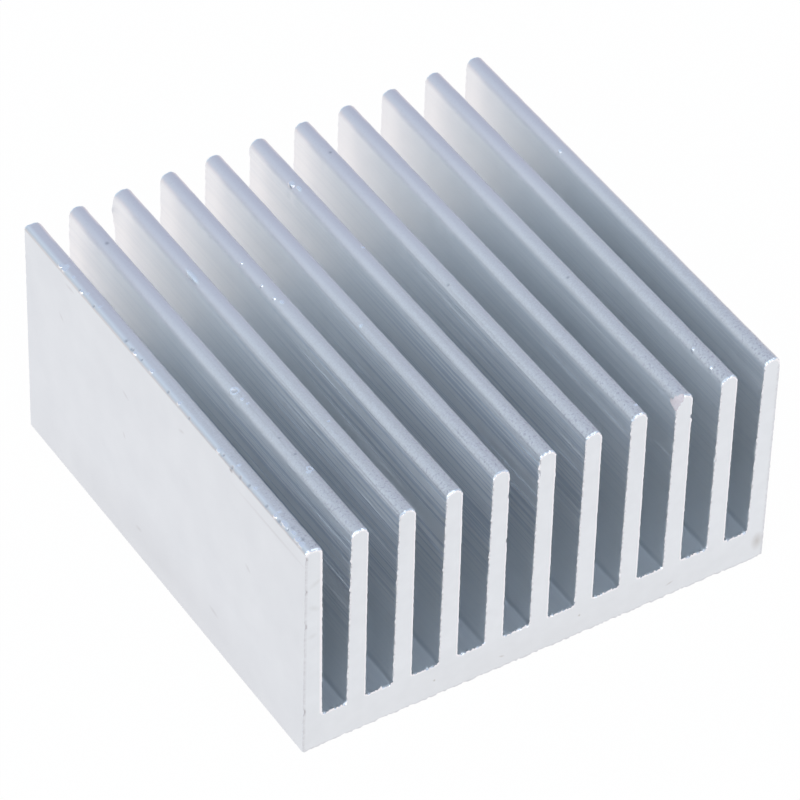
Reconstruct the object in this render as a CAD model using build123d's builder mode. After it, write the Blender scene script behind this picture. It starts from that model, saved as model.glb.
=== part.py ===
from build123d import *
from math import atan, degrees
import os

# A comb-section aluminium extrusion, cut to length with a saw: one solid piece.
# Millimetres. X runs across the fins, Y along them and Z up; the origin is the centre of the underside.

# Overall size
width = 40.0
length = 40.0
height = 20.0

# Base plate; the die rounds its two long lower edges a little
base_thickness = 3.2
base_edge_round = 0.2

# Fins: each is thinner at its tip than at its root, so that the extrusion leaves the die freely
fin_count = 11
fin_root_thickness = 1.63
fin_tip_thickness = 1.42
fin_tip_round = 0.65
fin_root_round = 0.2

# The channel beside each outer fin is narrower than the others; width of its floor, fin to fin
side_channel_width = 2.0

# One fin has lost the corner of its tip at the near saw cut: how far the break runs down the corner,
# across the cut and back along the fin, and which fin it is, counted from -X
chipped_fin = 9
chip_height = 1.2
chip_width = 0.7
chip_depth = 1.2

# The inner fins stand at one even pitch between the two side channels
fin_height = height - base_thickness
inner_fin_count = fin_count - 2
inner_fin_reach = width - 2 * (fin_root_thickness + side_channel_width)
fin_pitch = (inner_fin_reach - fin_root_thickness) / (inner_fin_count - 1)

# An inner fin tapers on both flanks, an outer fin only on the flank inside the comb
fin_taper = fin_root_thickness - fin_tip_thickness
inner_flank_angle = 90 - degrees(atan(fin_taper / 2 / fin_height))
outer_flank_angle = 90 - degrees(atan(fin_taper / fin_height))

# A round can't be larger than half of the wall that carries it
tip_radius = min(fin_tip_round, 0.48 * fin_tip_thickness)
base_edge_radius = min(base_edge_round, 0.48 * base_thickness)

with BuildPart() as heat_sink:
    # Section of the extrusion, seen from the near saw cut
    with BuildSketch(Plane.XZ) as section:
        Rectangle(width, base_thickness, align=(Align.CENTER, Align.MIN))
        with Locations((0, base_thickness)):
            with GridLocations(fin_pitch, fin_pitch, inner_fin_count, 1):
                Trapezoid(fin_root_thickness, fin_height, inner_flank_angle, align=(Align.CENTER, Align.MIN))
        with Locations((-width / 2, base_thickness)):
            Trapezoid(fin_root_thickness, fin_height, 90, outer_flank_angle, align=(Align.MIN, Align.MIN))
        with Locations((width / 2, base_thickness)):
            Trapezoid(fin_root_thickness, fin_height, outer_flank_angle, 90, align=(Align.MAX, Align.MIN))

        # The section's corners lie at three heights: underside, channel floors and fin tips
        fillet(section.vertices().group_by(Axis.Y)[1], fin_root_round)
        fillet(section.vertices().group_by(Axis.Y)[-1], tip_radius)
        fillet(section.vertices().group_by(Axis.Y)[0], base_edge_radius)
    extrude(amount=length / 2, both=True)

    # The break is one flat facet through three points on the sharp corner's edges
    chipped_fin_x = (chipped_fin - (fin_count + 1) / 2) * fin_pitch
    corner = Vector(chipped_fin_x - fin_tip_thickness / 2, -length / 2, height)
    chip_foot = corner - Vector(0, 0, chip_height)
    chip_side = corner + Vector(chip_width, 0, 0)
    chip_back = corner + Vector(0, chip_depth, 0)
    facet = Plane(
        origin=(chip_foot + chip_side + chip_back) / 3,
        x_dir=chip_side - chip_foot,
        z_dir=(chip_side - chip_foot).cross(chip_back - chip_foot),
    )
    chip_reach = max(chip_height, chip_width, chip_depth)
    with Locations(facet):
        Box(
            2 * chip_reach,
            2 * chip_reach,
            chip_reach,
            align=(Align.CENTER, Align.CENTER, Align.MIN),
            mode=Mode.SUBTRACT,
        )

heat_sink.part.label = "heat_sink"

os.makedirs("parts", exist_ok=True)
export_step(heat_sink.part, "parts/heat_sink.step")
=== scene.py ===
"""Looks of an aluminium heat sink: one comb-section extrusion, sawn to length and left bare.

Lengths are millimetres and turn into metres only as they enter a mesh, a lamp or the camera. X runs across
the fins, Y along them and Z up. The origin is the centre of the underside, and the near saw cut faces -Y.
"""
import logging
import math
from collections.abc import Sequence
from dataclasses import dataclass, field
from enum import Enum, IntEnum

import bpy
import numpy as np
from mathutils import Matrix, Vector


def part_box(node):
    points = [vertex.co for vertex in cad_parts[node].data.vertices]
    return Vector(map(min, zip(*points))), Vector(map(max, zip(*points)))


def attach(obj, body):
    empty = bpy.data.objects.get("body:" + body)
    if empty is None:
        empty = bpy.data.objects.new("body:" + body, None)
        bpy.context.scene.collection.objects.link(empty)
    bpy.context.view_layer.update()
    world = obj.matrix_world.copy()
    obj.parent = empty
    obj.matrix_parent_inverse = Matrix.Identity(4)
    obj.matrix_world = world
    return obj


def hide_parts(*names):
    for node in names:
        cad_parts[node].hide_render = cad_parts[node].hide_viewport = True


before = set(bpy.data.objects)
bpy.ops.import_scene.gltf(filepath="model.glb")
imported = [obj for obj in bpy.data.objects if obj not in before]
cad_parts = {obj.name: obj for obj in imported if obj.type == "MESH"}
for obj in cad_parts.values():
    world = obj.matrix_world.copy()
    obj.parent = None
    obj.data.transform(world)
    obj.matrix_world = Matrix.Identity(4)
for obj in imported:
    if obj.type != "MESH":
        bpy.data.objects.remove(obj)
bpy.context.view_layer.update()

log = logging.getLogger("heat_sink")

MM = 0.001
NODE, BODY, SLOT = "heat_sink", "root", "aluminium"

# Short names for types, and the settings of a node that multiplies and of one that also adds
Tree, Node, Socket = bpy.types.NodeTree, bpy.types.Node, bpy.types.NodeSocket
Source, Tint = Node | Socket, Socket | str
Array, Pair, Triple = np.ndarray, tuple[float, float], tuple[float, float, float]
TIMES, TIMES_PLUS = {"operation": "MULTIPLY"}, {"operation": "MULTIPLY_ADD"}


class Skin(IntEnum):
    """The surfaces that the bar shows, in the order of its material slots."""

    FIN = 0
    OUTSIDE = 1
    SAWN = 2
    BROKEN = 3


class Flank(Enum):
    """The side of a fin that a mark lies on."""

    LEFT = -1
    RIGHT = 1


def linear(colour: str) -> tuple[float, float, float, float]:
    """Turns an sRGB hex colour into the linear colour that a shader takes.

    Args:
        colour: six hex digits, red first.

    Returns:
        Red, green, blue and an alpha of one.
    """
    coded = np.array([int(colour[i:i + 2], 16) for i in (0, 2, 4)]) / 255
    light = np.where(coded <= 0.04045, coded / 12.92, ((coded + 0.055) / 1.055) ** 2.4)
    return (*light.tolist(), 1.0)


def feed(tree: Tree, node: Node, inputs: dict[str | int, object]) -> None:
    """Sets or links inputs of a shader node.

    Args:
        tree: the node tree.
        node: the node.
        inputs: for each input, by name or number, a value, a colour's six hex digits, the output that feeds
            it or the node whose first output does.
    """
    for name, value in inputs.items():
        source = value.outputs[0] if isinstance(value, Node) else value
        if isinstance(source, Socket):
            tree.links.new(source, node.inputs[name])
        else:
            node.inputs[name].default_value = linear(source) if isinstance(source, str) else source


def add_node(tree: Tree, kind: str, settings: dict | None = None, inputs: dict | None = None) -> Node:
    """Adds one shader node with its settings and links.

    Args:
        tree: the node tree that it joins.
        kind: the node type's name, without the word that all shader nodes start with.
        settings: property values by name.
        inputs: what its inputs are fed.

    Returns:
        The new node.
    """
    node = tree.nodes.new("ShaderNode" + kind)
    for name, value in (settings or {}).items():
        setattr(node, name, value)
    feed(tree, node, inputs or {})
    return node


def layer(tree: Tree, tint: Tint, *layers: tuple[Source, Tint]) -> Tint:
    """Lays colours over one another.

    Args:
        tree: the node tree.
        tint: the lowest colour.
        layers: for each colour above it, its share and the colour.

    Returns:
        The colour that shows in the end.
    """
    for share, colour in layers:
        tint = add_node(tree, "Mix", {"data_type": "RGBA"}, {"Factor": share, 6: tint, 7: colour}).outputs[2]
    return tint


def empty_tree(owner: bpy.types.Material | bpy.types.World) -> Tree:
    """Gives a material or a world an empty node tree and returns the tree."""
    owner.use_nodes = True
    owner.node_tree.nodes.clear()
    return owner.node_tree


def add_object(name: str, data: bpy.types.ID) -> bpy.types.Object:
    """Puts an object that carries a mesh, a lamp or a camera into the scene and returns it."""
    made = bpy.data.objects.new(name, data)
    bpy.context.scene.collection.objects.link(made)
    return made


def divide(stops: Sequence[float], counts: Sequence[int]) -> Array:
    """Divides each stretch between two stops into equal steps.

    Args:
        stops: where the stretches start and end.
        counts: the steps in each stretch.

    Returns:
        Every division from the first stop to the last.
    """
    runs = [np.linspace(a, b, n, endpoint=False) for a, b, n in zip(stops[:-1], stops[1:], counts)]
    return np.concatenate([*runs, [stops[-1]]])


def middles(row: Array) -> Array:
    """Returns the middle of each step along a row."""
    return (row[:-1] + row[1:]) / 2


@dataclass(frozen=True)
class Ripple:
    """Smooth irregular waviness along one measure, the same in each run.

    The value is a sum of cosines whose wavelengths step evenly in ratio from shortest to longest and whose
    phases come from the seed, scaled so that it stays mostly within one of zero.
    """

    shortest: float
    longest: float
    seed: int
    waves: int = 11

    def at(self, way: Array) -> Array:
        """Works out the waviness.

        Args:
            way: places along the measure, in mm.

        Returns:
            The value at each place.
        """
        lengths = np.geomspace(self.shortest, self.longest, self.waves)
        phases = np.random.default_rng(self.seed).uniform(0, 2 * np.pi, self.waves)
        return np.cos(2 * np.pi * way[..., None] / lengths + phases).sum(-1) / math.sqrt(2 * self.waves)


@dataclass
class CombSection:
    """Outline of the extrusion's cross-section.

    It is walked from the left corner of the underside up, over the fins from left to right, down and back
    along the underside. A place on it is one number, the way walked in mm.
    """

    width: float
    height: float
    base_thickness: float = 3.2
    fin_count: int = 11
    root_thickness: float = 1.63
    tip_thickness: float = 1.42
    side_channel_width: float = 2.0
    root_round: float = 0.2
    tip_round: float = 0.65
    first_tip_round: float = 0.32
    base_round: float = 0.2
    arc_steps: int = 24
    way: Array = field(init=False)
    columns: Array = field(init=False)
    perimeter: float = field(init=False)
    bend_start: Array = field(init=False)
    bend_end: Array = field(init=False)

    def __post_init__(self) -> None:
        """Rounds each corner and measures the way.

        A corner's arc starts one tangent length before it. Its centre is one radius towards the inside of
        the turn, and its points are the centre plus the radius times (-inward cos a + incoming sin a).
        """
        corners, rounds = self._corners()
        incoming = corners - np.roll(corners, 1, axis=0)
        incoming /= np.linalg.norm(incoming, axis=1, keepdims=True)
        outgoing = np.roll(incoming, -1, axis=0)
        cross = incoming[:, 0] * outgoing[:, 1] - incoming[:, 1] * outgoing[:, 0]
        turn = np.arctan2(np.abs(cross), (incoming * outgoing).sum(1))
        hand = np.sign(cross)[:, None]
        inward = hand * np.stack([-incoming[:, 1], incoming[:, 0]], axis=1)
        start = corners - incoming * (rounds * np.tan(turn / 2))[:, None]
        centre = start + inward * rounds[:, None]
        angle = turn[:, None, None] * np.linspace(0, 1, self.arc_steps + 1)[None, :, None]
        spokes = incoming[:, None] * np.sin(angle) - inward[:, None] * np.cos(angle)
        arcs = centre[:, None] + rounds[:, None, None] * spokes
        self.columns = np.concatenate([arcs, -hand[:, None] * spokes], axis=2).reshape(-1, 4).T
        walk = arcs.reshape(-1, 2)
        lengths = np.linalg.norm(np.roll(walk, -1, axis=0) - walk, axis=1)
        self.way = np.concatenate([[0.0], np.cumsum(lengths[:-1])])
        self.perimeter = float(lengths.sum())
        bends = self.way.reshape(-1, self.arc_steps + 1)
        self.bend_start, self.bend_end = bends[:, 0], bends[:, -1]

    def _corners(self) -> tuple[Array, Array]:
        """Lists the sharp corners.

        Returns:
            The corners in walking order, four to a fin, and the radius of each.
        """
        half = self.width / 2
        reach = half - self.root_thickness - self.side_channel_width - self.root_thickness / 2
        centres = np.linspace(-reach, reach, self.fin_count - 2)
        root, tip = self.root_thickness / 2, self.tip_thickness / 2
        across = np.empty((self.fin_count, 4))
        across[1:-1] = centres[:, None] + np.array([-root, -tip, tip, root])
        across[0] = -half, -half, -half + 2 * tip, -half + 2 * root
        across[-1] = half - 2 * root, half - 2 * tip, half, half
        base, top = self.base_thickness, self.height
        up = np.tile([base, top, top, base], (self.fin_count, 1))
        up[0, 0] = up[-1, -1] = 0.0
        at_root, at_tip = self.root_round, self.tip_round
        rounds = np.tile([at_root, at_tip, at_tip, at_root], (self.fin_count, 1))
        rounds[0, 0] = rounds[-1, -1] = self.base_round
        rounds[0, 1] = self.first_tip_round
        return np.stack([across.ravel(), up.ravel()], axis=1), rounds.ravel()

    def at(self, way: Array) -> tuple[Array, ...]:
        """Finds places on the outline.

        Args:
            way: ways walked, in mm.

        Returns:
            X and Z of each place and X and Z of the direction that the metal faces there.
        """
        return tuple(np.interp(way, self.way, column, period=self.perimeter) for column in self.columns)

    def bend(self, corner: int) -> Pair:
        """Returns where the bend at a corner starts and ends."""
        return self.bend_start[corner], self.bend_end[corner]

    def tip_bends(self, fin: int) -> tuple[float, float, float, float]:
        """Returns where the left and the right bend of a fin's tip start and end."""
        return *self.bend(4 * fin + 1), *self.bend(4 * fin + 2)

    def feet(self, fin: int) -> Pair:
        """Finds where a fin starts and ends on the outline, just above the rounds at its root.

        Args:
            fin: the fin, counted from zero.

        Returns:
            The ways of its left and its right foot.
        """
        first, _, _, last = self.tip_bends(fin)
        rise = self.height - self.base_thickness - self.root_round
        left = first - rise + self.first_tip_round if fin == 0 else self.bend_end[4 * fin]
        right = last + rise - self.tip_round if fin == self.fin_count - 1 else self.bend_start[4 * fin + 3]
        return left, right

    def on_flank(self, fin: int, flank: Flank, height: float) -> float:
        """Finds a place on a fin's flank.

        Args:
            fin: the fin, counted from zero.
            flank: the side of the fin.
            height: Z of the place.

        Returns:
            The way to it.
        """
        first, _, _, last = self.tip_bends(fin)
        if flank is Flank.RIGHT:
            return last + (self.height - self.tip_round - height)
        return first - (self.height - (self.tip_round if fin else self.first_tip_round) - height)

    def centre(self, fin: int) -> float:
        """Returns X of the middle of a fin's tip."""
        return float(self.at(np.array([sum(self.tip_bends(fin)[1:3]) / 2]))[0][0])

    def leaning(self, x: Array, z: Array, across: Array, up: Array) -> tuple[Array, Array]:
        """Works out which way the rim stands out, so that its rows never cross where they are drawn in.

        On a fin's tip that is away from a core on the fin's axis, half a thickness below the top. At a lower
        corner it is away from a core as deep inside it. Elsewhere it is the way that the metal faces.

        Args:
            x: X of places on the outline.
            z: Z of them.
            across: X of the facing there.
            up: Z of the facing there.

        Returns:
            X and Z of the way out at each place.
        """
        bends = np.array([self.tip_bends(fin) for fin in range(self.fin_count)])
        ends = self.at(bends[:, [0, 3]])[0]
        axes, half = ends.mean(1), self.tip_thickness / 2
        beside = x - axes[np.argmin(np.abs(x[:, None] - axes), axis=1)]
        over, out = z - (self.height - half), np.abs(x) - (self.width / 2 - half)
        low = (z < half) & (out > 0)
        return (np.select([over > 0, low], [beside / half, np.sign(x) * out / half], across),
                np.select([over > 0, low], [over / half, z / half - 1], up))

    def skins(self, way: Array) -> Array:
        """Says which surface lies at each way: outside below the outer fins' tips, and fin elsewhere.

        Args:
            way: ways walked, in mm.

        Returns:
            The number of the surface for each way.
        """
        first, last = self.tip_bends(0)[0], self.tip_bends(self.fin_count - 1)[3]
        walked = way % self.perimeter
        return np.where((walked < first) | (walked > last), Skin.OUTSIDE, Skin.FIN)


@dataclass
class Shell:
    """Vertices and faces gathered patch by patch into one closed surface."""

    points: list[Array] = field(default_factory=list)
    facings: list[Array] = field(default_factory=list)
    faces: list[Array] = field(default_factory=list)
    skins: list[Array] = field(default_factory=list)
    count: int = 0
    broken_from: float = 0.3
    sharp_from: float = 35.0

    def add(self, points: Array, facings: Array) -> Array:
        """Adds vertices.

        Args:
            points: their places, with X, Y and Z last.
            facings: the direction that the metal faces at each.

        Returns:
            Their numbers, in the shape of the points.
        """
        shape = points.shape[:-1]
        numbers = self.count + np.arange(math.prod(shape)).reshape(shape)
        self.points.append(points.reshape(-1, 3))
        self.facings.append(np.broadcast_to(facings, points.shape).reshape(-1, 3))
        self.count += numbers.size
        return numbers

    def cover(self, numbers: Array, skins: Array | int) -> None:
        """Covers a grid of vertices with four-sided faces.

        Args:
            numbers: vertex numbers, such that first index cross second index points outwards.
            skins: the surface of the faces, one for all or one for each step of the first index.
        """
        near, far = numbers[:-1], numbers[1:]
        quads = np.stack([near[:, :-1], far[:, :-1], far[:, 1:], near[:, 1:]], axis=-1)
        self.skins.append(np.broadcast_to(np.reshape(skins, (-1, 1)), quads.shape[:2]).ravel())
        self.faces.append(quads.reshape(-1, 4))

    def join(self, near: Array, near_way: Array, far: Array, far_way: Array, skins: int | Array) -> None:
        """Joins two rows that run the same way but are divided differently.

        Each segment of a row makes a triangle with the vertex of the other row beside the segment's middle.

        Args:
            near: vertex numbers of one row.
            near_way: how far along each lies.
            far: vertex numbers of the other row, such that near to far cross the way points outwards.
            far_way: how far along each lies.
            skins: the surface of the faces, one for all or one for each segment of near and then of far.
        """
        near_middle, far_middle = middles(near_way), middles(far_way)
        across = far[np.searchsorted(far_middle, near_middle)]
        back = near[np.searchsorted(near_middle, far_middle, side="right")]
        triangles = np.concatenate([
            np.stack([near[:-1], across, near[1:]], axis=1),
            np.stack([back, far[:-1], far[1:]], axis=1),
        ])
        whole = (triangles != np.roll(triangles, 1, axis=1)).all(1)
        self.faces.append(triangles[whole])
        self.skins.append(np.broadcast_to(skins, len(triangles))[whole])

    def finish(self, name: str, points: Array, marks: dict[str, Array]) -> bpy.types.Object:
        """Writes the surface into a mesh object at the origin.

        Args:
            name: the piece's name.
            points: the final places of all vertices, in mm.
            marks: values from 0 to 1 for each vertex, by attribute name. Mostly fresh faces are broken.

        Returns:
            The object, smooth but for the rims of the saw cuts.
        """
        sides = np.concatenate([np.full(len(block), block.shape[1]) for block in self.faces])
        loops = np.concatenate([block.ravel() for block in self.faces])
        mesh = bpy.data.meshes.new(name)
        mesh.vertices.add(len(points))
        mesh.vertices.foreach_set("co", (points * MM).astype(np.float32).ravel())
        mesh.loops.add(len(loops))
        mesh.loops.foreach_set("vertex_index", loops.astype(np.int32))
        mesh.polygons.add(len(sides))
        starts = np.cumsum(sides) - sides
        mesh.polygons.foreach_set("loop_start", starts.astype(np.int32))
        broken = np.add.reduceat(marks["fresh"][loops], starts) / sides > self.broken_from
        skins = np.where(broken, Skin.BROKEN, np.concatenate(self.skins))
        mesh.polygons.foreach_set("material_index", skins.astype(np.int32))
        mesh.update(calc_edges=True)
        mesh.set_sharp_from_angle(angle=math.radians(self.sharp_from))
        for mark, values in marks.items():
            mesh.attributes.new(mark, "FLOAT", "POINT").data.foreach_set("value", values.astype(np.float32))
        return add_object(name, mesh)


@dataclass(frozen=True)
class RimNick:
    """A burr or a notch on a fin's edge at a saw cut.

    A positive rise stands out and a negative one bites in. A positive shine is a painted glint and a
    negative one is painted shade. A height above the fin's lies on its tip, that much further along the rim.
    """

    fin: int
    flank: Flank
    height: float
    rise: float
    size: float
    shine: float = -1.0


@dataclass
class SawCut:
    """One sawn end: its flat face, the ragged rim and the strip of skin behind the rim.

    A pair of lengths is the shortest and the longest wave of a ripple, and shares and swings weigh one. The
    burrs and bevels are heights in mm, the depths lie behind the cut and the steps are divisions of the rim.
    """

    section: CombSection
    plane: float
    facing: int
    seed: int
    nicks: tuple[RimNick, ...]
    depths: tuple[float, ...] = (0.5, 0.32, 0.2, 0.12, 0.06, 0.0)
    flank_steps: int = 110
    tip_steps: int = 12
    floor_steps: int = 24
    side_steps: int = 90
    under_steps: int = 200
    bend_steps: int = 4
    columns: int = 6
    coarse: Pair = (0.9, 4.0)
    fine: Pair = (0.2, 0.8)
    gaps: Pair = (0.15, 1.2)
    tears: Pair = (0.2, 1.5)
    coarse_share: float = 0.45
    fine_share: float = 0.55
    even_share: float = 0.15
    burr_left: float = 0.09
    burr_right: float = 0.02
    burr_floor: float = 0.3
    burr_tip: float = 0.12
    bevel_tip: float = 0.13
    lip: float = 0.1
    bevel: float = 0.045
    bevel_depth: float = 0.12
    bevel_share: float = 0.85
    bevel_swing: float = 0.6
    bevel_most: float = 1.2
    top_from: float = 0.25
    glint: float = 0.12
    ring_gap: float = 0.03
    corner_reach: float = 0.6
    corner_bevel: float = 0.35
    # How the rim is painted: bright as a glint with the saw's burnishing, dark as the burr's shade with dirt
    torn_share: float = 0.5
    torn_swing: float = 0.7
    left_share: float = 0.6
    outside_dull: float = 0.15
    outside_torn: float = 0.27
    rim_row: Array = field(init=False)
    rim_way: Array = field(init=False)
    rim_shine: Array = field(init=False)

    def _rim_ways(self) -> Array:
        """Divides the outline finely, fin by fin, from the first fin's left foot all the way round."""
        section, runs = self.section, []
        for fin in range(section.fin_count):
            left, right = section.feet(fin)
            counts = [self.flank_steps, self.tip_steps, self.columns, self.tip_steps, self.flank_steps]
            runs.append(divide([left, *section.tip_bends(fin), right], counts)[:-1])
            if fin < section.fin_count - 1:
                floor = section.bend_end[4 * fin + 3], section.bend_start[4 * fin + 4]
                stops = [right, *floor, section.feet(fin + 1)[0]]
                runs.append(divide(stops, [self.bend_steps, self.floor_steps, self.bend_steps])[:-1])
        full = section.perimeter
        stops = [right, *section.bend(-1), full, full + section.bend_end[0], full + section.feet(0)[0]]
        counts = [self.side_steps, self.bend_steps, self.under_steps, self.bend_steps, self.side_steps]
        runs.append(divide(stops, counts)[:-1])
        return np.concatenate(runs)

    def _raggedness(self, way: Array, across: Array, up: Array, high: Array) -> Array:
        """Works out how far the burr turned up by the saw stands out from the outline.

        It is a height that depends on the facing, times an even share plus shares of a coarse and a fine
        ripple. The bar's outer edges are only broken back.

        Args:
            way: ways along the outline.
            across: X of the facing there.
            up: Z of the facing there.
            high: whether each lies in the upper half.

        Returns:
            The burr's height at each way, negative where the edge is broken back.
        """
        coarse, fine = Ripple(*self.coarse, self.seed), Ripple(*self.fine, self.seed + 1)
        height = self.burr_left * np.maximum(-across, 0) + self.burr_right * np.maximum(across, 0) \
            + np.where(high, self.burr_tip, self.burr_floor) * np.abs(up)
        rough = self.coarse_share * coarse.at(way) + self.fine_share * fine.at(way) + self.even_share
        burr = height * rough
        return np.where(self.section.skins(way) == Skin.OUTSIDE, -np.abs(burr), burr)

    def _dents(self, way: Array, depth: Array) -> tuple[Array, Array]:
        """Adds up the nicks.

        A nick rises by its rise times exp(-(way from the nick / size) squared), and fades behind the cut as
        exp(-depth / reach), where the reach is its rise but at least the lip.

        Args:
            way: ways along the outline.
            depth: depths behind the cut, one to a row.

        Returns:
            How far they stand out at each depth and way, and how much they shine at each way.
        """
        rise, shine = np.zeros((len(depth), len(way))), np.zeros(len(way))
        for nick in self.nicks:
            middle = self.section.on_flank(nick.fin - 1, nick.flank, nick.height)
            share = np.exp(-((way - middle) / nick.size) ** 2)
            rise += nick.rise * share * np.exp(-depth / max(self.lip, abs(nick.rise)))
            shine += nick.shine * share
        return rise, shine

    def build(self, shell: Shell, loop: Array, loop_way: Array) -> None:
        """Closes one end of the bar.

        A rim vertex lies on the outline, pushed out by the burr times exp(-depth / lip) and drawn in by the
        bevel, which fades over its own depth and has gaps where the rim is torn. A last ring of vertices
        lies on the cut face, one glint's width inside the even bevel, or two at the bar's outside.

        Args:
            shell: the surface that it joins.
            loop: the vertices where the skin ends, all the way round, the first one again at the end.
            loop_way: their ways.
        """
        section, way = self.section, self._rim_ways()
        x, z, across, up = section.at(way)
        depth = np.array(self.depths)[:, None]
        high = z > section.height / 2
        even = self.bevel + (self.bevel_tip - self.bevel) * np.where(high, up, 0)
        corner = np.clip((x + section.width / 2) / self.corner_reach, self.corner_bevel, 1)
        gaps = self.bevel_share + self.bevel_swing * Ripple(*self.gaps, self.seed + 2).at(way)
        bevel = corner * even * np.clip(gaps, 0, self.bevel_most)
        dents, self.rim_shine = self._dents(way, depth)
        outside = section.skins(way) == Skin.OUTSIDE
        wide = outside | (x < section.root_thickness - section.width / 2)
        ring = -even - self.glint * (1 + wide)
        burr = self._raggedness(way, across, up, high) * np.exp(-depth / self.lip)
        push = burr + dents - bevel * np.maximum(1 - depth / self.bevel_depth, 0)
        push = np.concatenate([np.maximum(push, ring + self.ring_gap), ring[None]])
        depth = np.append(depth, depth[-1:], axis=0)
        lean_across, lean_up = section.leaning(x, z, across, up)
        y = np.broadcast_to(self.plane - self.facing * depth, push.shape)
        facings = np.stack([across, np.zeros_like(across), up], axis=1)
        rim = shell.add(np.stack([x + push * lean_across, y, z + push * lean_up], axis=2), facings)
        self.rim_row, self.rim_way = rim[-2], way
        closed = np.concatenate([rim, rim[:, :1]], axis=1)
        closed_way = np.append(way, way[0] + section.perimeter)
        skins = section.skins(middles(closed_way))
        on_top = np.where((up > self.top_from) & high, Skin.SAWN, skins)
        bevelled = np.flatnonzero(np.array(self.depths) <= self.bevel_depth)[0]
        strips = [(closed[:bevelled + 1], skins), (closed[bevelled:-1], on_top), (closed[-2:], Skin.SAWN)]
        for strip, skin in strips:
            shell.cover(strip[::self.facing].T, skin)
        skins = [section.skins(middles(loop_way)), skins][::-self.facing]
        rows = [(loop, loop_way), (closed[0], closed_way)][::-self.facing]
        shell.join(*rows[0], *rows[1], np.concatenate(skins))
        self._face(shell, rim[-1])

    def marks(self, facings: Array) -> tuple[Array, Array]:
        """Says where the rim is painted bright and where dull.

        The right edges and the tips are bright all along and the left edges only between tears, where they
        are dull. The bar's outside is a little dull throughout. The bright marks are the saw's burnishing
        together with a painted glint, and the dull ones are dirt together with the burr's painted shade.

        Args:
            facings: the direction that the metal faces at each vertex of the shell.

        Returns:
            How brightly and how darkly each vertex is painted, from 0 to 1.
        """
        burnish_and_glint, grime_and_shade = np.zeros(len(facings)), np.zeros(len(facings))
        across, up = facings[self.rim_row, 0], facings[self.rim_row, 2]
        tears = self.torn_swing * Ripple(*self.tears, self.seed + 4).at(self.rim_way)
        torn = np.clip(self.torn_share + tears, 0, 1)
        outside = self.section.skins(self.rim_way) == Skin.OUTSIDE
        left = np.maximum(-across, 0)
        # Painted glint on the right edges, the tips and the untorn left edges, together with burnishing
        bright = np.maximum(across, 0) + np.maximum(up, 0) + self.left_share * left * (1 - torn)
        # Painted shade on the torn left edges and the bar's outside, together with dirt
        dark = np.where(outside, self.outside_dull + self.outside_torn * torn, left * torn * self.left_share)
        bright = np.where(outside, 0, bright)
        burnish_and_glint[self.rim_row] = np.clip(bright + self.rim_shine, 0, 1)
        grime_and_shade[self.rim_row] = np.clip(dark - self.rim_shine, 0, 1)
        return burnish_and_glint, grime_and_shade

    def _face(self, shell: Shell, rim: Array) -> None:
        """Fills the sawn face: a grid across each fin and one strip of triangles across the base plate.

        Args:
            shell: the surface that it joins.
            rim: the rim's last row of vertices.
        """
        section, near = self.section, self.facing < 0
        ends = np.concatenate([np.concatenate(shell.points), np.concatenate(shell.facings)], axis=1)
        fin_steps = 2 * (self.flank_steps + self.tip_steps) + self.columns
        channel_steps = 2 * self.bend_steps + self.floor_steps
        rows = np.arange(self.flank_steps + self.tip_steps + 1)
        share = np.linspace(0, 1, self.columns + 1)[1:-1, None]
        upper = []
        for fin in range(section.fin_count):
            start = fin * (fin_steps + channel_steps)
            left, right = rim[start + rows], rim[(start + fin_steps - rows) % len(rim)]
            middle = ends[left[:-1], None] + share * (ends[right[:-1], None] - ends[left[:-1], None])
            grid = np.empty((len(rows), self.columns + 1), dtype=int)
            grid[:, 0], grid[:, -1] = left, right
            grid[-1] = rim[start + rows[-1] + np.arange(self.columns + 1)]
            grid[:-1, 1:-1] = shell.add(middle[..., :3], middle[..., 3:])
            shell.cover(grid.T if near else grid, Skin.SAWN)
            upper.append(grid[0])
            if fin < section.fin_count - 1:
                upper.append(rim[start + fin_steps + 1:start + fin_steps + channel_steps])
        upper = np.concatenate(upper)
        lower = np.append(rim[start + fin_steps:], rim[0])[::-1]
        points = np.concatenate(shell.points)
        upper_way, lower_way = points[upper, 0], points[lower, 0]
        upper_way[[0, -1]] += np.array([-1, 1]) * section.width
        rows = [(upper, upper_way), (lower, lower_way)][::-self.facing]
        shell.join(*rows[0], *rows[1], Skin.SAWN)


class Mark(Enum):
    """What has happened at a mark on a fin's tip."""

    BEAD = "bead"
    PIT = "pit"
    RING = "ring"


@dataclass(frozen=True)
class TipMark:
    """A small mark on a fin's tip, across from its middle. stretch draws the mark out along the fin."""

    fin: int
    along: float
    across: float
    kind: Mark
    size: float
    height: float
    stretch: float = 1.0


@dataclass(frozen=True)
class Scuffing:
    """A run of tiny nicks strewn along the edge of a fin's tip."""

    fin: int
    first: float
    last: float
    across: float
    count: int
    seed: int
    scatter: float = 0.05
    smallest: float = 0.13
    largest: float = 0.25
    height: float = 0.07

    def marks(self) -> list[TipMark]:
        """Scatters the nicks evenly at random between the run's ends."""
        rng = np.random.default_rng(self.seed)
        along = rng.uniform(self.first, self.last, self.count)
        across = self.across + rng.normal(0, self.scatter, self.count)
        sizes = rng.uniform(self.smallest, self.largest, self.count)
        kinds = rng.choice([Mark.BEAD, Mark.PIT], self.count)
        return [TipMark(self.fin, *row, self.height) for row in zip(along, across, kinds, sizes)]


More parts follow.
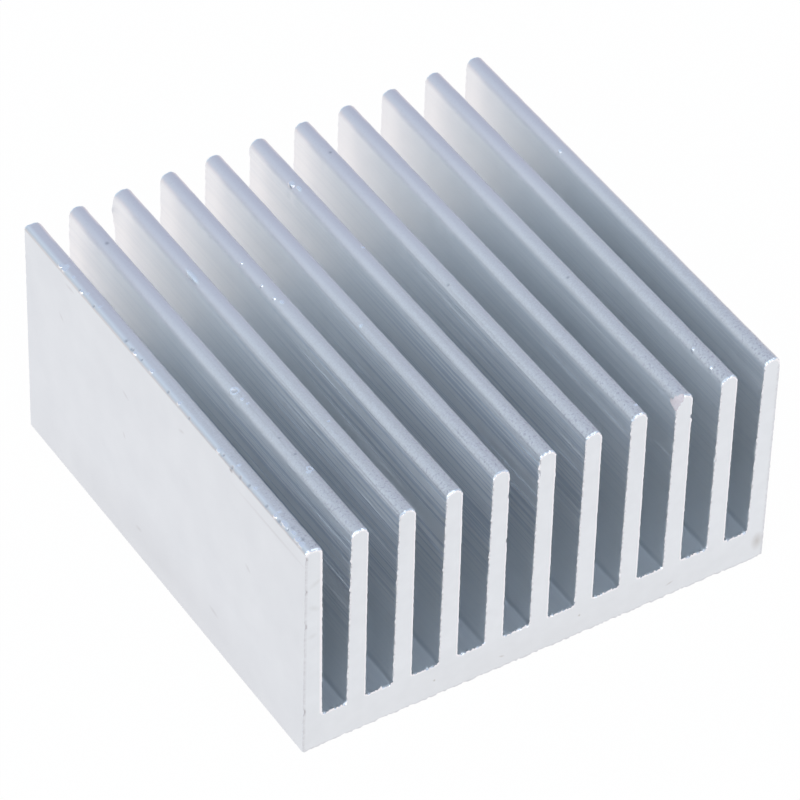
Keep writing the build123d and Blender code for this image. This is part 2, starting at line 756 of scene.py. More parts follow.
@dataclass(frozen=True)
class BrokenCorner:
    """The corner that a fin's tip has lost at the near cut.

    A slanting facet runs through a foot on the corner's upright edge, a point on the tip's front edge and
    one on the flank, and ends at a steep step at its back. Its grain is a fine ripple along a slanting way.
    """

    fin: int = 9
    drop: float = 1.2
    width: float = 0.7
    back_drop: float = 0.95
    back: float = 0.76
    step: Triple = (0.25, -0.45, 0.87)
    step_run: Pair = (-0.1, 0.3)
    steepness: float = 1.5
    roughness: float = 0.004
    grain: Pair = (0.12, 0.5)
    grain_seed: int = 71
    grain_way: Triple = (1.0, 1.7, 0.6)
    least: float = 1e-4
    fresh_depth: float = 0.02
    reach: Triple = (1.6, 2.0, 2.0)

    def cut(self, points: Array, corner: Array) -> tuple[Array, Array]:
        """Presses what stands beyond the facet back onto it.

        A point moves against the facet's normal by a rounded minimum of its height over the facet and the
        steepness times its distance in front of the step, (a^-4 + b^-4)^(-1/4).

        Args:
            points: places of all vertices.
            corner: the sharp corner that was there.

        Returns:
            The new places, and how fresh the metal is at each, from 0 to 1.
        """
        foot = np.array([0.0, 0.0, -self.drop])
        side = np.array([self.width, 0.0, 0.0])
        rear = np.array([0.0, self.back, -self.back_drop])
        normal = np.cross(side - foot, rear - foot)
        normal /= np.linalg.norm(normal) * np.sign(normal[2])
        rise = np.array(self.step)
        wall = np.cross(rise, np.array([self.width, *self.step_run]))
        wall /= np.linalg.norm(wall) * -np.sign(wall[1])
        near = points - corner
        inside = (np.abs(near) < self.reach).all(1)
        over = (near - foot) @ normal
        ahead = (near - rear) @ wall
        grain = self.roughness * Ripple(*self.grain, self.grain_seed).at(near @ np.array(self.grain_way))
        facet, step = np.maximum(over + grain, self.least), np.maximum(self.steepness * ahead, self.least)
        depth = np.where(inside, (facet ** -4 + step ** -4) ** -0.25 - self.least, 0).clip(0)
        return points - depth[:, None] * normal, np.clip(depth / self.fresh_depth, 0, 1)


@dataclass
class FinnedBar:
    """The heat sink itself: one length of the extrusion with its saw cuts and marks.

    The steps are divisions across each kind of patch. The fins' upper edges waver out and up by the waviness
    times the wave shares, and the phase moves on with each fin, so that no two waver alike.
    """

    section: CombSection
    length: float
    tip_reach: float = 0.8
    seam: float = 0.4
    cut_reach: float = 0.8
    tip_station_gap: float = 0.7
    channel_stations: int = 12
    side_stations: int = 24
    waviness: float = 0.012
    waves: Pair = (0.8, 5.0)
    wave_seed: int = 5
    wave_shares: Triple = (1.0, 0.0, 0.6)
    phase_step: float = 13.7
    phase_width: float = 3.9
    weather_depth: float = 3.0
    mark_reach: float = 1.35
    mark_stations: int = 11
    chip_station_gap: float = 0.1
    least_gap: float = 0.02
    tip_steps: tuple[int, ...] = (3, 12, 2, 12, 3)
    channel_steps: tuple[int, ...] = (4, 4, 2, 4, 4)
    side_steps: tuple[int, ...] = (12, 4, 24, 4, 12)
    lip_width: float = 0.25
    lip_end: float = 1.6
    lip_height: float = 0.6
    # How dark a pit is painted: dirt and painted shade in its hollow
    pit_grime_and_shade: float = 0.8
    out_of_reach: float = 9.0
    marks: tuple[TipMark, ...] = ()
    chip: BrokenCorner = BrokenCorner()
    near_nicks: tuple[RimNick, ...] = ()
    far_nicks: tuple[RimNick, ...] = ()

    def _tip_stations(self, fin: int) -> Array:
        """Places the stations along a fin's tip, close together at a mark or the broken corner.

        Args:
            fin: the fin, counted from zero.

        Returns:
            Y of each station, from the near end to the far one.
        """
        end = self.length / 2 - self.cut_reach
        stations = [np.arange(-end, end, self.tip_station_gap)]
        for mark in self.marks:
            if mark.fin == fin + 1:
                reach = self.mark_reach * mark.size
                stations.append(mark.along + mark.stretch * np.linspace(-reach, reach, self.mark_stations))
        if self.chip.fin == fin + 1:
            stations.append(np.arange(-end, 2 * self.chip.drop - end, self.chip_station_gap))
        every = np.sort(np.concatenate(stations))
        every = every[(every > -end + self.least_gap) & (every < end - self.least_gap)]
        apart = np.append(True, np.diff(every) > self.least_gap)
        return np.concatenate([[-end], every[apart], [end]])

    def _patches(self) -> list[tuple[Array, Array]]:
        """Divides the skin into a fine patch over each tip, a coarse one in each channel and one outside.

        Returns:
            For each patch, its ways round the outline and its stations along Y.
        """
        section, out = self.section, self.tip_reach + self.seam
        end = self.length / 2 - self.cut_reach
        channel = np.linspace(-end, end, self.channel_stations)
        patches = []
        for fin in range(section.fin_count):
            bends = section.tip_bends(fin)
            stops = [bends[0] - self.tip_reach, *bends, bends[3] + self.tip_reach]
            patches.append((divide(stops, self.tip_steps), self._tip_stations(fin)))
            if fin < section.fin_count - 1:
                stops = [bends[3] + out, *section.bend(4 * fin + 3), *section.bend(4 * fin + 4),
                         section.tip_bends(fin + 1)[0] - out]
                patches.append((divide(stops, self.channel_steps), channel))
        full = section.perimeter
        stops = [bends[3] + out, *section.bend(-1), full, full + section.bend_end[0],
                 full + section.tip_bends(0)[0] - out]
        patches.append((divide(stops, self.side_steps), np.linspace(-end, end, self.side_stations)))
        return patches

    def _skin(self, shell: Shell) -> tuple[Array, Array, Array]:
        """Lays the patches along the bar, each place the outline's X and Z at a station's Y, and joins them.

        Args:
            shell: the surface that they join.

        Returns:
            The near and the far end's loop of vertices, the first one again at the end, and their ways.
        """
        section, laid = self.section, []
        for ways, stations in self._patches():
            x, z, across, up = (column[:, None] for column in section.at(ways))
            shape = (len(ways), len(stations))
            points = np.stack([np.broadcast_to(part, shape) for part in (x, stations, z)], axis=2)
            facings = np.stack([np.broadcast_to(part, shape) for part in (across, np.zeros(1), up)], axis=2)
            numbers = shell.add(points, facings)
            shell.cover(numbers, section.skins(middles(ways)))
            laid.append((numbers, ways, stations))
        for (numbers, ways, stations), (after, _, after_stations) in zip(laid, laid[1:] + laid[:1]):
            skin = section.skins(ways[-1:] + self.seam / 2)[0]
            shell.join(numbers[-1], stations, after[0], after_stations, skin)
        loops = [np.concatenate([numbers[:, end] for numbers, _, _ in laid] + [laid[0][0][:1, end]])
                 for end in (0, -1)]
        ways = np.concatenate([ways for _, ways, _ in laid])
        return loops[0], loops[1], np.append(ways, ways[0] + section.perimeter)

    def _weather(self, points: Array, facings: Array, burnish_and_glint: Array, grime_and_shade: Array) \
            -> tuple[Array, dict[str, Array]]:
        """Lets the fins' upper edges waver, presses the marks into the tips and breaks off the corner.

        A pit goes down by its height times (1 - t squared) squared, where t is the distance from its middle
        over its size. A bead rises by twice its height times (1 - t squared), so its edge is steep. A ring
        is a pit with a lip, exp(-((t - 1) / lip width) squared). All move along the facing at their middle.
        A bead and a ring's lip are painted bright as a glint, and a pit dark as dirt and painted shade in
        its hollow.

        Args:
            points: places of all vertices.
            facings: the direction that the metal faces at each.
            burnish_and_glint: how brightly each vertex is painted already.
            grime_and_shade: how darkly each vertex is painted already.

        Returns:
            The new places, and for each vertex how brightly and how darkly it is painted and how freshly
            broken it is.
        """
        high = points[:, 2] > self.section.height - self.weather_depth
        phase = self.phase_step * np.round(points[:, 0] / self.phase_width)
        sway = self.waviness * Ripple(*self.waves, self.wave_seed).at(points[:, 1] + phase)
        points = points + np.where(high, sway, 0)[:, None] * facings * np.array(self.wave_shares)
        for mark in self.marks:
            centre = self.section.centre(mark.fin - 1)
            middle = np.array([centre + mark.across, mark.along, self.section.height])
            away = (points - middle) / np.array([1.0, mark.stretch, 1.0])
            beside = np.hypot(away[:, 0], away[:, 1]) + np.where(high, 0, self.out_of_reach)
            nearest = np.argmin(beside)
            away[:, 2] = points[:, 2] - points[nearest, 2]
            t = np.linalg.norm(away, axis=1) / mark.size
            dome = np.clip(1 - t ** 2, 0, None)
            bowl = dome ** 2
            lip = np.exp(-((t - 1) / self.lip_width) ** 2) * (t < self.lip_end)
            rise = {Mark.BEAD: 2 * dome, Mark.PIT: -bowl, Mark.RING: self.lip_height * lip - bowl}[mark.kind]
            points = points + mark.height * rise[:, None] * facings[nearest]
            # A bead and a ring's lip are painted bright as a glint, a pit dark as dirt and painted shade
            shine = lip if mark.kind is Mark.RING else dome * (mark.kind is Mark.BEAD)
            burnish_and_glint = np.maximum(burnish_and_glint, shine)
            grime_and_shade = np.maximum(grime_and_shade, self.pit_grime_and_shade * bowl * (mark.kind is Mark.PIT))
        left = self.section.centre(self.chip.fin - 1) - self.section.tip_thickness / 2
        points, fresh = self.chip.cut(points, np.array([left, -self.length / 2, self.section.height]))
        half = np.array([self.section.width / 2, self.length / 2])
        points[:, :2] = np.clip(points[:, :2], -half, half)
        points[:, 2] = np.clip(points[:, 2], 0, self.section.height)
        return points, {"burnish_and_glint": burnish_and_glint, "grime_and_shade": grime_and_shade, "fresh": fresh}

    def build(self) -> bpy.types.Object:
        """Builds the whole bar as one closed mesh.

        Returns:
            The piece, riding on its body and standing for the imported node.
        """
        shell = Shell()
        near_loop, far_loop, loop_way = self._skin(shell)
        near = SawCut(self.section, -self.length / 2, -1, seed=3, nicks=self.near_nicks)
        near.build(shell, near_loop, loop_way)
        far = SawCut(self.section, self.length / 2, 1, seed=11, nicks=self.far_nicks, depths=(0.5, 0.12, 0),
                     flank_steps=50, tip_steps=8, floor_steps=10, side_steps=8, under_steps=60, columns=2,
                     burr_left=0.03, burr_right=0.04, burr_floor=0.02, burr_tip=0.02, bevel_tip=0.04)
        far.build(shell, far_loop, loop_way)
        facings = np.concatenate(shell.facings)
        points, marks = self._weather(np.concatenate(shell.points), facings, *near.marks(facings))
        piece = shell.finish("finned_bar", points, marks)
        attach(piece, BODY)
        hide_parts(NODE)
        return piece


@dataclass(frozen=True)
class SmudgeAndShade:
    """A faint dark mark on a flat face, mostly dirt but painted shade where it is broad and low: middle,
    half length and half width in mm, and turn in degrees.
    """

    place: Triple
    length: float
    width: float
    turn: float
    strength: float = 0.5


@dataclass(frozen=True)
class Grain:
    """An irregular pattern: its grain's size in mm on each axis, and the noise that becomes 0 and 1."""

    size: Triple
    low: float = 0.0
    high: float = 1.0
    detail: float = 2.0
    roughness: float = 0.5

    def build(self, tree: Tree, where: Socket) -> Node:
        """Builds the pattern.

        Args:
            tree: the material's node tree.
            where: its coordinates.

        Returns:
            The node that gives the pattern's value, from 0 to 1.
        """
        spread = tuple(1 / (part * MM) for part in self.size)
        noise = add_node(tree, "TexNoise", inputs={
            "Vector": add_node(tree, "VectorMath", TIMES, {0: where, 1: spread}), "Scale": 1.0,
            "Detail": self.detail, "Roughness": self.roughness})
        return add_node(tree, "MapRange", inputs={
            "Value": noise, "From Min": self.low, "From Max": self.high})


@dataclass(frozen=True)
class Fade:
    """A soft step along an axis: where it starts and is full, in mm, and its value before the start."""

    axis: str
    start: float
    full: float
    least: float = 0.0


@dataclass(frozen=True)
class Finish:
    """What every finish of the bar has: the surface's name, colour and gloss, and those of its marks, which
    paint glints and shade along with burnishing and dirt.
    """

    name: str
    colour: str
    roughness: float
    # Colours of the marks: a painted glint with burnishing, and painted shade with dirt
    burnish_and_glint_colour: str = "F7FBFF"
    burnished_roughness: float = 0.25
    burnish_and_glint_full: float = 0.55
    grime_and_shade_colour: str = "B4B5BA"

    def _start(self) -> tuple[bpy.types.Material, Tree, Node, Socket]:
        """Starts an empty material.

        Returns:
            The material, its node tree, its metal shader and its object coordinates.
        """
        material = bpy.data.materials.new(self.name)
        tree = empty_tree(material)
        metal = add_node(tree, "BsdfPrincipled", inputs={
            "Metallic": 1.0, "Roughness": self.roughness, "Base Color": self.colour})
        add_node(tree, "OutputMaterial", inputs={"Surface": metal})
        return material, tree, metal, add_node(tree, "TexCoord").outputs["Object"]

    def _mark(self, tree: Tree, metal: Node, tint: Tint, rough: Source | float) -> None:
        """Brings in the marks made in the mesh: bright spots are painted white, burnishing and a painted
        glint in one, and dark spots are painted grey, dirt and painted shade in one.

        Args:
            tree: the material's node tree.
            metal: its metal shader.
            tint: the colour without marks.
            rough: the roughness without marks.
        """
        burnish_and_glint, grime_and_shade = (add_node(tree, "Attribute", {"attribute_name": mark}).outputs["Fac"]
                          for mark in ("burnish_and_glint", "grime_and_shade"))
        shine = add_node(tree, "MapRange", inputs={"Value": burnish_and_glint, "From Max": self.burnish_and_glint_full})
        # Painted glints and painted shade go over the colour, with the dirt and burnishing
        marked = layer(tree, tint, (grime_and_shade, self.grime_and_shade_colour), (shine, self.burnish_and_glint_colour))
        gloss = add_node(tree, "Mix", inputs={"Factor": shine, 2: rough, 3: self.burnished_roughness})
        feed(tree, metal, {"Base Color": marked, "Roughness": gloss})


@dataclass(frozen=True)
class DrawnFin(Finish):
    """Bare aluminium as it leaves the die: fine lines run along each fin and smear its reflections sideways.

    Real die lines are finer than the picture can show, so they are drawn as coarse as they need to be.
    """

    lines: Grain = Grain((0.4, 300.0, 0.4), 0.49, 0.54, 3.0, 0.75)
    line_depth: float = 0.02
    line_light: str = "FEFFFF"
    line_dark: str = "E3E8EE"
    scored: tuple[Fade, ...] = (
        Fade("Y", 8.0, -9.0, 0.12), Fade("X", 9.0, 0.0, 0.3), Fade("Z", 7.0, 15.0, 0.1))
    smear: float = 0.8
    smear_turn: float = 0.25
    scratches: Grain = Grain((0.3, 14.0, 0.3), 0.6, 0.68)
    scratch_roughness: float = 0.35
    rubbed: tuple[Fade, ...] = (Fade("Z", 16.0, 19.0),)
    rubbed_roughness: float = 0.06
    tip: tuple[Fade, ...] = (Fade("Z", 19.35, 19.8),)
    tip_roughness: float = 0.35
    grit: Grain = Grain((0.14, 0.14, 0.14), 0.35, 0.65)
    grit_light: str = "EEEDED"
    grit_dark: str = "E4E2E1"
    grit_relief: float = 0.08
    strewn: tuple[Fade, ...] = (Fade("Y", 12.0, -10.0),)
    specks: Grain = Grain((0.2, 0.2, 0.2), 0.55, 0.7, 1.0)
    speck_colour: str = "D2CED2"
    peppered: tuple[Fade, ...] = (Fade("Y", -8.0, -19.5, 0.12),)
    # Painted reflection: the tips turn warm towards the far end
    back: tuple[Fade, ...] = (Fade("Y", -2.0, 14.0),)
    back_reflection: str = "EBE7EA"
    # Painted shade: the channel floors are coloured darker
    floor: tuple[Fade, ...] = (Fade("Z", 4.0, 3.4),)
    floor_shade: str = "EBEFF2"
    # Painted highlight on the first fin's outer shoulder, then painted shade on its outermost rounding
    edge: tuple[Fade, ...] = (Fade("X", -19.45, -19.75), Fade("Z", 19.3, 19.6))
    edge_highlight: str = "F8F9FA"
    corner_shade: tuple[Fade, ...] = (Fade("X", -19.75, -19.97), Fade("Z", 19.3, 19.6))
    corner_shade_colour: str = "DDDFE1"

    def _share(self, tree: Tree, place: Node, fades: tuple[Fade, ...], *others: Source) -> Source:
        """Multiplies soft steps and other shares into one share.

        Args:
            tree: the material's node tree.
            place: the separated coordinates.
            fades: the soft steps.
            others: the other shares.

        Returns:
            The share.
        """
        shares = [*others, *(add_node(tree, "MapRange", {"interpolation_type": "SMOOTHSTEP"}, {
            "Value": place.outputs[fade.axis], "From Min": fade.start * MM, "From Max": fade.full * MM,
            "To Min": fade.least}) for fade in fades)]
        product = shares[0]
        for share in shares[1:]:
            product = add_node(tree, "Math", TIMES, {0: product, 1: share})
        return product

    def build(self) -> bpy.types.Material:
        """Builds the material. The tips have been handled and tumbled, so they are duller and sandy."""
        material, tree, metal, where = self._start()
        place = add_node(tree, "SeparateXYZ", inputs={0: where})
        lines, scratches, grit, specks = (
            grain.build(tree, where) for grain in (self.lines, self.scratches, self.grit, self.specks))
        scored, rubbed, tip, back, floor, edge, corner_shade = (
            self._share(tree, place, fades)
            for fades in (self.scored, self.rubbed, self.tip, self.back, self.floor, self.edge, self.corner_shade))
        sand = self._share(tree, place, self.strewn, grit, tip)
        dirt = self._share(tree, place, self.peppered, specks)
        dragged, lined = (self._share(tree, place, (), part, scored) for part in (scratches, lines))

        rough = self.roughness
        for share, more in ((rubbed, self.rubbed_roughness), (dragged, self.scratch_roughness)):
            rough = add_node(tree, "Math", TIMES_PLUS, {0: share, 1: more, 2: rough})
        rough = add_node(tree, "Mix", inputs={"Factor": tip, 2: rough, 3: self.tip_roughness})

        streaky = layer(tree, self.line_light, (lines, self.line_dark))
        # The tips' sand, with a painted warm reflection towards the far end and dark specks
        sandy = layer(tree, self.grit_light, (sand, self.grit_dark),
                      (back, self.back_reflection), (dirt, self.speck_colour))
        # The channel floors get painted shade
        tint = layer(tree, self.colour, (floor, self.floor_shade), (scored, streaky),
                     # Painted highlight and painted shade on the first fin's outer shoulder
                     (tip, sandy), (edge, self.edge_highlight), (corner_shade, self.corner_shade_colour))
        self._mark(tree, metal, tint, rough)

        relief = add_node(tree, "Math", TIMES_PLUS, {0: sand, 1: self.grit_relief, 2: lined})
        bump = add_node(tree, "Bump", inputs={
            "Height": relief, "Distance": self.line_depth * MM})
        feed(tree, metal, {
            "Normal": bump, "Tangent": add_node(tree, "CombineXYZ", inputs={"Y": 1.0}),
            "Anisotropic": self.smear, "Anisotropic Rotation": self.smear_turn})
        return material


@dataclass(frozen=True)
class MottledSkin(Finish):
    """Bare metal whose colour wavers softly between two tints, with dirty marks and painted shade on its
    upright faces.
    """

    shade: str = "E1E9EF"
    clouds: Grain = Grain((3.0, 3.0, 3.0), detail=4.0)
    smudge_and_shade_colour: str = "A9A9AE"
    smudges_and_shade: tuple[SmudgeAndShade, ...] = ()
    dark_patch_reach: float = 5.0

    def _smudge_and_shade(self, tree: Tree, where: Socket, tint: Tint) -> Tint:
        """Paints the dark marks, dirt and painted shade, each of which fades evenly from its middle to the
        edge of its ellipse.

        Args:
            tree: the material's node tree.
            where: its coordinates.
            tint: the colour without them.

        Returns:
            The colour with the smudges.
        """
        for dark_patch in self.smudges_and_shade:
            side = abs(dark_patch.place[0]) > abs(dark_patch.place[1])
            turn = math.radians(dark_patch.turn)
            reach = (self.dark_patch_reach, dark_patch.length) if side else (dark_patch.length, self.dark_patch_reach)
            local = add_node(tree, "Mapping", {"vector_type": "TEXTURE"}, {
                "Vector": where, "Location": tuple(part * MM for part in dark_patch.place),
                "Rotation": (turn, 0, 0) if side else (0, turn, 0),
                "Scale": tuple(part * MM for part in (*reach, dark_patch.width))})
            spot = add_node(tree, "TexGradient", {"gradient_type": "SPHERICAL"}, {0: local})
            share = add_node(tree, "Math", TIMES, {0: spot.outputs["Fac"], 1: dark_patch.strength})
            tint = layer(tree, tint, (share, self.smudge_and_shade_colour))
        return tint

    def build(self) -> bpy.types.Material:
        """Builds the material."""
        material, tree, metal, where = self._start()
        tint = layer(tree, self.shade, (self.clouds.build(tree, where), self.colour))
        self._mark(tree, metal, self._smudge_and_shade(tree, where, tint), self.roughness)
        return material


@dataclass(frozen=True)
class FreshBreak(Finish):
    """Torn aluminium where the corner broke away: crystalline, so it glitters a little, with a warm cast."""

    shade: str = "DAD0D2"
    bare: float = 0.3
    crystal: float = 0.09
    crystal_relief: float = 0.004

    def build(self) -> bpy.types.Material:
        """Builds the material."""
        material, tree, metal, where = self._start()
        crystals = add_node(tree, "TexVoronoi", inputs={"Vector": where, "Scale": 1 / (self.crystal * MM)})
        away = crystals.outputs["Distance"]
        bump = add_node(tree, "Bump", inputs={"Height": away, "Distance": self.crystal_relief * MM})
        tint = layer(tree, self.colour, (away, self.shade))
        feed(tree, metal, {"Base Color": tint, "Metallic": self.bare, "Normal": bump})
        return material


@dataclass(frozen=True)
class Lamp:
    """A square soft lamp that points at the object."""

    name: str
    place: Triple
    side: float
    power: float

    def build(self) -> None:
        """Hangs the lamp."""
        data = bpy.data.lights.new(self.name, "AREA")
        data.shape, data.size, data.energy = "SQUARE", self.side, self.power
        lamp = add_object(self.name, data)
        lamp.location = self.place
        lamp.rotation_euler = (-Vector(self.place)).to_track_quat("-Z", "Y").to_euler()


@dataclass(frozen=True)
class Studio:
    """Plain white paper under a soft sky: white low down, a cool grey overhead, and dimmer on the right."""

    horizon_left: str = "E8EEF5"
    horizon_right: str = "CBD1E0"
    overhead_left: str = "D0DEEE"
    overhead_right: str = "BCC6DA"
    overhead_height: float = 0.4
    left_reach: float = -0.4
    right_reach: float = 0.6
    paper: str = "F5F5F5"
    paper_cast: str = "FEF7F6"
    paper_side: float = 3.0
    paper_white: float = 0.985
    paper_roughness: float = 0.9
    bounces: int = 24
    lamps: tuple[Lamp, ...] = (
        Lamp("key_lamp", (-0.75, -0.55, 0.6), 0.6, 3.2),
        Lamp("fill_lamp", (0.5, -0.8, 0.72), 0.6, 2.2),
    )

    def build(self) -> None:
        """Sets the colour handling, the sky, the paper and the lamps."""
        scene = bpy.context.scene
        scene.view_settings.view_transform = "Standard"
        # Light leaves a channel only after some eight reflections
        scene.cycles.max_bounces = scene.cycles.glossy_bounces = self.bounces
        self._sky(scene)
        self._floor()
        for lamp in self.lamps:
            lamp.build()

    def _sky(self, scene: bpy.types.Scene) -> None:
        """Paints the sky, which the camera sees as plain white."""
        scene.world = bpy.data.worlds.new("soft_sky")
        tree = empty_tree(scene.world)
        where = add_node(tree, "TexCoord").outputs["Generated"]
        direction = add_node(tree, "SeparateXYZ", inputs={0: where})
        climb = add_node(tree, "MapRange", inputs={
            "Value": direction.outputs["Z"], "From Max": self.overhead_height})
        side = add_node(tree, "MapRange", inputs={
            "Value": direction.outputs["X"], "From Min": self.left_reach, "From Max": self.right_reach})
        low, high = (layer(tree, left, (side, right)) for left, right in (
            (self.horizon_left, self.horizon_right), (self.overhead_left, self.overhead_right)))
        sky = add_node(tree, "Background", inputs={"Color": layer(tree, low, (climb, high))})
        white = add_node(tree, "Background", inputs={"Color": "FFFFFF"})
        seen = add_node(tree, "LightPath")
        shown = add_node(tree, "MixShader", inputs={0: seen.outputs["Is Camera Ray"], 1: sky, 2: white})
        add_node(tree, "OutputWorld", inputs={"Surface": shown})

    def _floor(self) -> None:
        """Lays the paper: white to the camera, faintly warm in the metal, and with a trace of shadow."""
        half = self.paper_side / 2
        mesh = bpy.data.meshes.new("paper")
        corners = [(-half, -half, 0), (half, -half, 0), (half, half, 0), (-half, half, 0)]
        mesh.from_pydata(corners, [], [(0, 1, 2, 3)])
        material = bpy.data.materials.new("white_paper")
        tree = empty_tree(material)
        matt = add_node(tree, "BsdfPrincipled", inputs={
            "Base Color": self.paper, "Roughness": self.paper_roughness, "Specular IOR Level": 0.0})
        seen = add_node(tree, "LightPath")
        cast = layer(tree, self.paper_cast, (seen.outputs["Is Camera Ray"], "FFFFFF"))
        white = add_node(tree, "Emission", inputs={"Color": cast})
        either = add_node(tree, "Math", {"operation": "MAXIMUM"}, {
            0: seen.outputs["Is Camera Ray"], 1: seen.outputs["Is Glossy Ray"]})
        share = add_node(tree, "Math", TIMES, {0: either, 1: self.paper_white})
        shown = add_node(tree, "MixShader", inputs={0: share, 1: matt, 2: white})
        add_node(tree, "OutputMaterial", inputs={"Surface": shown})
        mesh.materials.append(material)
        add_object("paper", mesh)


@dataclass(frozen=True)
class PhotoCamera:
    """A long lens above the near left corner, turned slightly about its own axis."""

    azimuth: float = -33.15
    elevation: float = 42.491
    roll: float = 1.842
    aim: Triple = (0.088, -0.536, 9.563)
    distance: float = 389.5
    lens: float = 236.67
    sensor: float = 36.0

    def build(self) -> None:
        """Sets up the camera. Its axes come from two angles, and the roll turns right and up about back."""
        turn, climb, roll = (math.radians(angle) for angle in (self.azimuth, self.elevation, self.roll))
        level, reach = Vector((math.cos(turn), math.sin(turn), 0)), math.cos(climb)
        back = Vector((math.sin(turn) * reach, -math.cos(turn) * reach, math.sin(climb)))
        right = level * math.cos(roll) + back.cross(level) * math.sin(roll)
        data = bpy.data.cameras.new("photo_camera")
        data.lens, data.sensor_width = self.lens, self.sensor
        placed = Matrix((right, back.cross(right), back)).transposed().to_4x4()
        placed.translation = (Vector(self.aim) + back * self.distance) * MM
        camera = add_object("photo_camera", data)
        camera.matrix_world = placed
        bpy.context.scene.camera = camera


# Marks on the fin tips, read off the photograph. For each fin: along, across, kind, size, height and stretch
BEAD, PIT, RING = Mark
TIP_MARKS = (
    *(TipMark(fin, *row) for fin, rows in {
        1: ((14.5, -0.1, BEAD, 0.28, 0.08), (-9.1, 0.1, PIT, 0.16, 0.05), (-10.1, -0.1, BEAD, 0.2, 0.07),
            (-12.7, -0.2, BEAD, 0.22, 0.07), (-9.9, -0.5, PIT, 0.25, 0.1),
            (-19.1, -0.35, BEAD, 0.26, 0.08), (-18.75, 0.0, PIT, 0.22, 0.06),
            (-18.6, -0.35, BEAD, 0.22, 0.07, 1.3), (-17.9, -0.2, BEAD, 0.2, 0.06, 1.5),
            (-17.4, 0.1, PIT, 0.2, 0.06), (-16.8, -0.3, BEAD, 0.22, 0.07, 2.0),
            (-15.6, -0.1, BEAD, 0.16, 0.05, 1.5), (13.2, -0.2, BEAD, 0.18, 0.07),
            (11.1, -0.2, BEAD, 0.15, 0.05), (9.4, -0.15, BEAD, 0.18, 0.07)),
        2: ((15.3, -0.1, PIT, 0.25, 0.05), (-3.25, -0.22, RING, 0.3, 0.11),
            (-4.3, -0.2, BEAD, 0.19, 0.07), (-4.9, -0.1, BEAD, 0.16, 0.05), (-9.1, 0.0, PIT, 0.15, 0.05),
            (-11.1, 0.1, PIT, 0.18, 0.06), (-13.15, -0.05, BEAD, 0.22, 0.1),
            (-12.9, 0.25, RING, 0.24, 0.09)),
        3: ((9.0, -0.43, BEAD, 0.25, 0.07, 4.0), (-9.4, 0.0, BEAD, 0.12, 0.04)),
        4: ((8.5, -0.45, BEAD, 0.16, 0.05), (5.6, -0.45, BEAD, 0.16, 0.05), (3.9, -0.4, BEAD, 0.18, 0.07),
            (3.2, -0.18, BEAD, 0.18, 0.07, 1.4)),
        5: ((-1.8, -0.46, BEAD, 0.2, 0.03),),
        6: ((14.3, -0.45, BEAD, 0.32, 0.16), (13.5, -0.3, BEAD, 0.19, 0.05, 2.0),
            (5.4, 0.32, BEAD, 0.17, 0.05)),
        7: ((15.9, 0.0, PIT, 0.2, 0.05), (-1.2, -0.39, PIT, 0.22, 0.07)),
        8: ((-19.0, 0.32, BEAD, 0.19, 0.07),),
        9: ((-5.0, -0.2, PIT, 0.18, 0.06),),
        10: ((-16.0, -0.5, BEAD, 0.18, 0.05), (-18.3, -0.5, BEAD, 0.18, 0.05)),
        11: ((7.4, -0.39, BEAD, 0.2, 0.07), (-13.3, 0.6, PIT, 0.2, 0.06)),
    }.items() for row in rows),
    *Scuffing(1, -18.0, 15.0, -0.4, 26, 31).marks(),
)

# Burrs and notches on the fins' edges at the two cuts, read off the photograph. For each one: fin, side,
# height, rise, size and shine, which is a painted glint where positive and painted shade where negative
LEFT, RIGHT = Flank
NEAR_NICKS = tuple(RimNick(*row) for row in (
    (5, RIGHT, 17.25, -0.07, 0.2), (5, RIGHT, 12.9, -0.07, 0.2), (6, LEFT, 19.3, -0.1, 0.2),
    (6, LEFT, 18.9, 0.1, 0.25, 1.0), (6, LEFT, 18.2, -0.16, 0.3, -0.5), (6, LEFT, 17.6, 0.1, 0.2, 0.5),
    (9, RIGHT, 17.7, -0.16, 0.14, -3.0), (9, RIGHT, 17.3, 0.06, 0.2, 3.0),
    (1, RIGHT, 20.3, -0.17, 0.4, 1.0), (1, LEFT, 19.9, -0.12, 0.2, 1.0), (1, LEFT, 19.3, -0.1, 0.12),
    (1, LEFT, 12.7, -0.12, 0.2), (1, LEFT, 4.2, -0.12, 0.25), (1, LEFT, 16.1, -0.08, 0.12),
    (10, LEFT, 12.2, -0.1, 0.15),
))
FAR_NICKS = tuple(RimNick(*row) for row in (
    (3, LEFT, 18.3, 0.24, 1.3, 0.0), (2, LEFT, 17.5, 0.06, 0.3, 0.0), (4, LEFT, 14.0, 0.05, 0.4, 0.0),
    (6, LEFT, 19.0, 0.07, 0.3, 0.0),
))
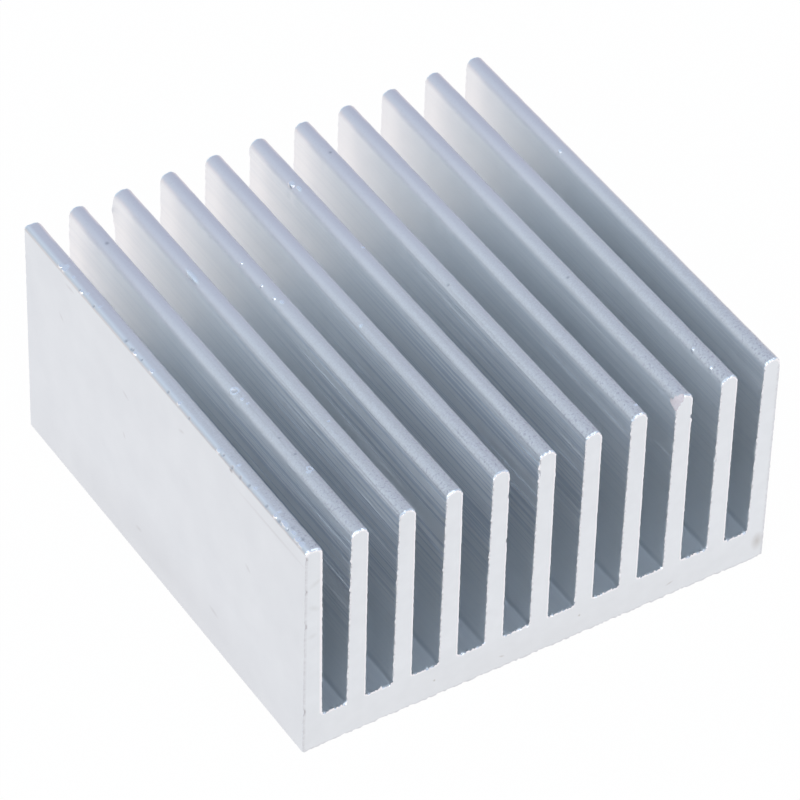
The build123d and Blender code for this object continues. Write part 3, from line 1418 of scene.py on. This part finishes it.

# Scratches and dirt on the left side and on the near saw cut, read off the photograph, and on each a broad
# painted shade that darkens it towards the bottom. For each one: its place along or across and up, half
# length, half width, turn and strength
SIDE_SMUDGES_AND_SHADE = tuple(SmudgeAndShade((-20, along, up), *rest) for along, up, *rest in (
    (-12.3, 12.0, 0.5, 0.25, 30, 0.25), (5.1, 14.9, 0.6, 0.2, 20, 0.25), (13.2, 19.05, 0.8, 0.2, 0, 0.25),
    (-9.9, 19.6, 0.3, 0.22, 0, 1.0), (-3.0, 17.8, 0.5, 0.2, -20, 0.25), (5.4, 10.7, 0.4, 0.2, 60, 0.25),
    (-7.5, 3.6, 0.8, 0.25, 10, 0.25), (3.4, 2.9, 0.6, 0.25, -10, 0.25), (14.6, 15.2, 0.5, 0.2, 40, 0.25),
    # The last one here is painted shade, darker towards the bottom of the side
    (-15.5, 18.45, 6.0, 0.22, 0, 0.2), (0.0, 2.0, 22.0, 4.0, 0, 0.12),
))
CUT_SMUDGES_AND_SHADE = tuple(SmudgeAndShade((across, -20, up), *rest) for across, up, *rest in (
    # The first one here is painted shade, darker towards the bottom of the cut face
    (0, 0.5, 40.0, 4.5, 0, 0.09), (19.4, 1.8, 0.6, 1.0, 0, 0.45), (-8.9, 1.7, 0.12, 0.12, 0, 0.8),
    (-3.1, 1.2, 0.3, 0.1, 20), (3.6, 2.0, 0.12, 0.12, 0, 0.8), (-19.2, 14.2, 0.7, 0.3, 35, 0.15),
    (-19.1, 16.6, 0.7, 0.3, -30, 0.15), (-19.3, 11.5, 0.5, 0.3, -10, 0.12), (11.6, 1.3, 0.4, 0.1, -15),
))


def main() -> None:
    """Builds the studio, the camera and the bar, and reports the piece."""
    logging.basicConfig(level=logging.INFO, format="%(name)s: %(message)s")
    Studio().build()
    PhotoCamera().build()
    low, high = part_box(NODE)
    size = (high - low) / MM
    bar = FinnedBar(CombSection(size.x, size.z), size.y, marks=TIP_MARKS, near_nicks=NEAR_NICKS,
                    far_nicks=FAR_NICKS)
    piece = bar.build()
    finishes = {
        # Drawn through the die: fine lines along the fins, which smear the reflections across them
        Skin.FIN: DrawnFin("mill_finish_extrusion", "FCFEFF", 0.4),
        # Drawn and then handled: even, pale, faintly soiled and painted darker as shade towards the bottom
        Skin.OUTSIDE: MottledSkin("handled_extrusion", "EBF3F8", 0.4, smudges_and_shade=SIDE_SMUDGES_AND_SHADE),
        # Sawn: the blade's fine criss-cross marks scatter the light, so it looks matt and white; faintly
        # soiled and painted darker as shade towards the bottom
        Skin.SAWN: MottledSkin("sawn_aluminium", "ECF4F9", 0.42, shade="E3EBF0",
                               clouds=Grain((1.2, 1.2, 1.2), detail=5.0), smudge_and_shade_colour="A8A49C",
                               smudges_and_shade=CUT_SMUDGES_AND_SHADE),
        # Torn: coarse crystals that glitter a little, with a warm cast
        Skin.BROKEN: FreshBreak("broken_aluminium", "E4DDDC", 0.9),
    }
    for skin in Skin:
        piece.data.materials.append(finishes[skin].build())
    corners = sum(polygon.loop_total - 2 for polygon in piece.data.polygons)
    log.info("%s: %d vertices, %d triangles", piece.name, len(piece.data.vertices), corners)


if __name__ == "__main__":
    main()
